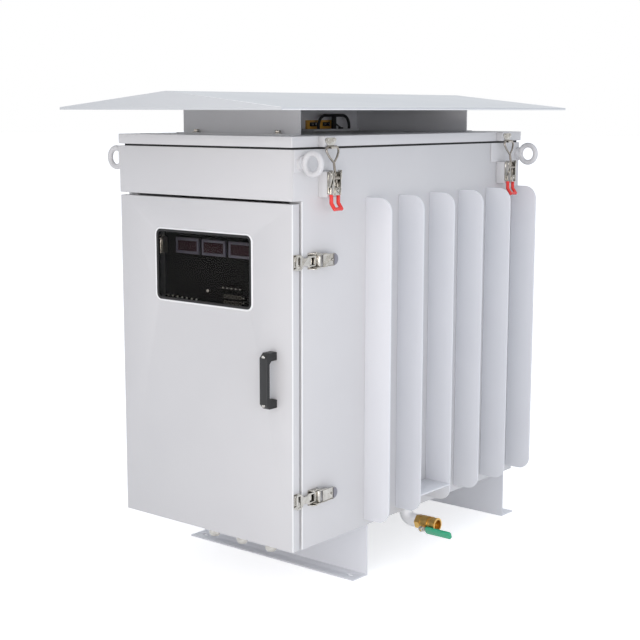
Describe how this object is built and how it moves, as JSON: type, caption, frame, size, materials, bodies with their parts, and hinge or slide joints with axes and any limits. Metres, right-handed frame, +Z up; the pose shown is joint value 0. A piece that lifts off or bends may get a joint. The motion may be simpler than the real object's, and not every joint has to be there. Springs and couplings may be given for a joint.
{
  "type": "transformer rectifier",
  "caption": "Oil-filled transformer rectifier: finned sheet-steel tank on two feet, front control door with window, clamped lid, sun canopy and bottom drain valve.",
  "frame": {"origin": "on the floor, midway between the four anchor slots in the feet", "axes": "+X to the side with the door latches and drain valve, -Y out of the front door, +Z up"},
  "size_m": [0.971, 1.495, 1.476],
  "materials": {
    "body_paint": "satin light grey paint",
    "canopy_paint": "satin light grey paint, weathered on top",
    "bright_plating": "bright nickel plating",
    "zinc": "dull zinc plating",
    "black_rubber": "matt black rubber",
    "black_plastic": "matt black plastic",
    "red_grip": "soft red PVC over steel",
    "green_grip": "green PVC over steel",
    "brass": "bare brass",
    "gland_metal": "nickel-plated brass",
    "terminal_board": "ochre laminate",
    "window_pane": "tinted clear pane"
  },
  "bodies": {
    "housing": {"side_walls": "body_paint", "rear_wall": "body_paint", "floor_plate": "body_paint", "partition_wall": "body_paint", "rim_flange": "body_paint", "header_panel": "body_paint", "lid_gasket": "black_rubber", "lid": "body_paint", "cooling_fins": "body_paint", "drain_ledge": "body_paint", "feet": "body_paint", "lifting_eyes": "body_paint", "eye_plates": "body_paint", "clamp_pads": "body_paint", "clamp_keepers": "bright_plating", "clamp_bases": "bright_plating", "door_hinges": "zinc", "latch_bases": "bright_plating", "cable_glands": "gland_metal", "control_panel": "black_plastic", "panel_pillars": "zinc", "panel_hinges": "bright_plating", "panel_meters": "black_plastic", "canopy": "canopy_paint", "canopy_supports": "body_paint", "terminal_strip": "black_plastic", "terminal_board": "terminal_board", "lead_arch": "black_rubber", "drain_elbow": "body_paint", "drain_valve": "brass"},
    "door": {"door_panel": "body_paint", "window_gasket": "black_rubber", "window_glass": "window_pane", "door_handle": "black_plastic", "latch_keepers": "bright_plating"},
    "clamp_handle_right_front": {"clamp_handle_right_front": "red_grip"},
    "clamp_hook_right_front": {"clamp_hook_right_front": "bright_plating"},
    "clamp_handle_right_rear": {"clamp_handle_right_rear": "red_grip"},
    "clamp_hook_right_rear": {"clamp_hook_right_rear": "bright_plating"},
    "clamp_handle_left_front": {"clamp_handle_left_front": "red_grip"},
    "clamp_hook_left_front": {"clamp_hook_left_front": "bright_plating"},
    "clamp_handle_left_rear": {"clamp_handle_left_rear": "red_grip"},
    "clamp_hook_left_rear": {"clamp_hook_left_rear": "bright_plating"},
    "latch_lever_lower": {"latch_lever_lower": "bright_plating"},
    "latch_loop_lower": {"latch_loop_lower": "bright_plating"},
    "latch_lever_upper": {"latch_lever_upper": "bright_plating"},
    "latch_loop_upper": {"latch_loop_upper": "bright_plating"},
    "valve_lever": {"valve_lever": "green_grip"}
  },
  "joints": [
    {"name": "door_hinge", "type": "hinge", "parent": "housing", "child": "door", "pos_m": [-0.336, -0.734, 0.665], "axis": [0, 0, 1], "range_deg": [-110, 0]},
    {"name": "handle_pivot_right_front", "type": "hinge", "parent": "housing", "child": "clamp_handle_right_front", "pos_m": [0.394, -0.6155, 1.247], "axis": [0, -1, 0], "range_deg": [0, 100]},
    {"name": "hook_pivot_right_front", "type": "hinge", "parent": "clamp_handle_right_front", "child": "clamp_hook_right_front", "pos_m": [0.394, -0.6155, 1.235], "axis": [0, -1, 0], "range_deg": [-93, 0]},
    {"name": "handle_pivot_right_rear", "type": "hinge", "parent": "housing", "child": "clamp_handle_right_rear", "pos_m": [0.394, 0.3245, 1.247], "axis": [0, -1, 0], "range_deg": [0, 100]},
    {"name": "hook_pivot_right_rear", "type": "hinge", "parent": "clamp_handle_right_rear", "child": "clamp_hook_right_rear", "pos_m": [0.394, 0.3245, 1.235], "axis": [0, -1, 0], "range_deg": [-93, 0]},
    {"name": "handle_pivot_left_front", "type": "hinge", "parent": "housing", "child": "clamp_handle_left_front", "pos_m": [-0.394, -0.6155, 1.247], "axis": [0, 1, 0], "range_deg": [0, 100]},
    {"name": "hook_pivot_left_front", "type": "hinge", "parent": "clamp_handle_left_front", "child": "clamp_hook_left_front", "pos_m": [-0.394, -0.6155, 1.235], "axis": [0, 1, 0], "range_deg": [-93, 0]},
    {"name": "handle_pivot_left_rear", "type": "hinge", "parent": "housing", "child": "clamp_handle_left_rear", "pos_m": [-0.394, 0.3245, 1.247], "axis": [0, 1, 0], "range_deg": [0, 100]},
    {"name": "hook_pivot_left_rear", "type": "hinge", "parent": "clamp_handle_left_rear", "child": "clamp_hook_left_rear", "pos_m": [-0.394, 0.3245, 1.235], "axis": [0, 1, 0], "range_deg": [-93, 0]},
    {"name": "lever_pivot_lower", "type": "hinge", "parent": "housing", "child": "latch_lever_lower", "pos_m": [0.364, -0.664, 0.315], "axis": [0, 0, -1], "range_deg": [0, 100]},
    {"name": "loop_pivot_lower", "type": "hinge", "parent": "latch_lever_lower", "child": "latch_loop_lower", "pos_m": [0.364, -0.652, 0.315], "axis": [0, 0, -1], "range_deg": [-95, 0]},
    {"name": "lever_pivot_upper", "type": "hinge", "parent": "housing", "child": "latch_lever_upper", "pos_m": [0.364, -0.664, 1.003], "axis": [0, 0, -1], "range_deg": [0, 100]},
    {"name": "loop_pivot_upper", "type": "hinge", "parent": "latch_lever_upper", "child": "latch_loop_upper", "pos_m": [0.364, -0.652, 1.003], "axis": [0, 0, -1], "range_deg": [-95, 0]},
    {"name": "valve_turn", "type": "hinge", "parent": "housing", "child": "valve_lever", "pos_m": [0.414, -0.17, 0.127], "axis": [0, 0.9272, 0.3746], "range_deg": [0, 90]}
  ],
  "couplings": [
    {"joint": "hook_pivot_right_front", "follows": "handle_pivot_right_front", "ratio": -0.93},
    {"joint": "hook_pivot_right_rear", "follows": "handle_pivot_right_rear", "ratio": -0.93},
    {"joint": "hook_pivot_left_front", "follows": "handle_pivot_left_front", "ratio": -0.93},
    {"joint": "hook_pivot_left_rear", "follows": "handle_pivot_left_rear", "ratio": -0.93},
    {"joint": "loop_pivot_lower", "follows": "lever_pivot_lower", "ratio": -0.95},
    {"joint": "loop_pivot_upper", "follows": "lever_pivot_upper", "ratio": -0.95}
  ]
}
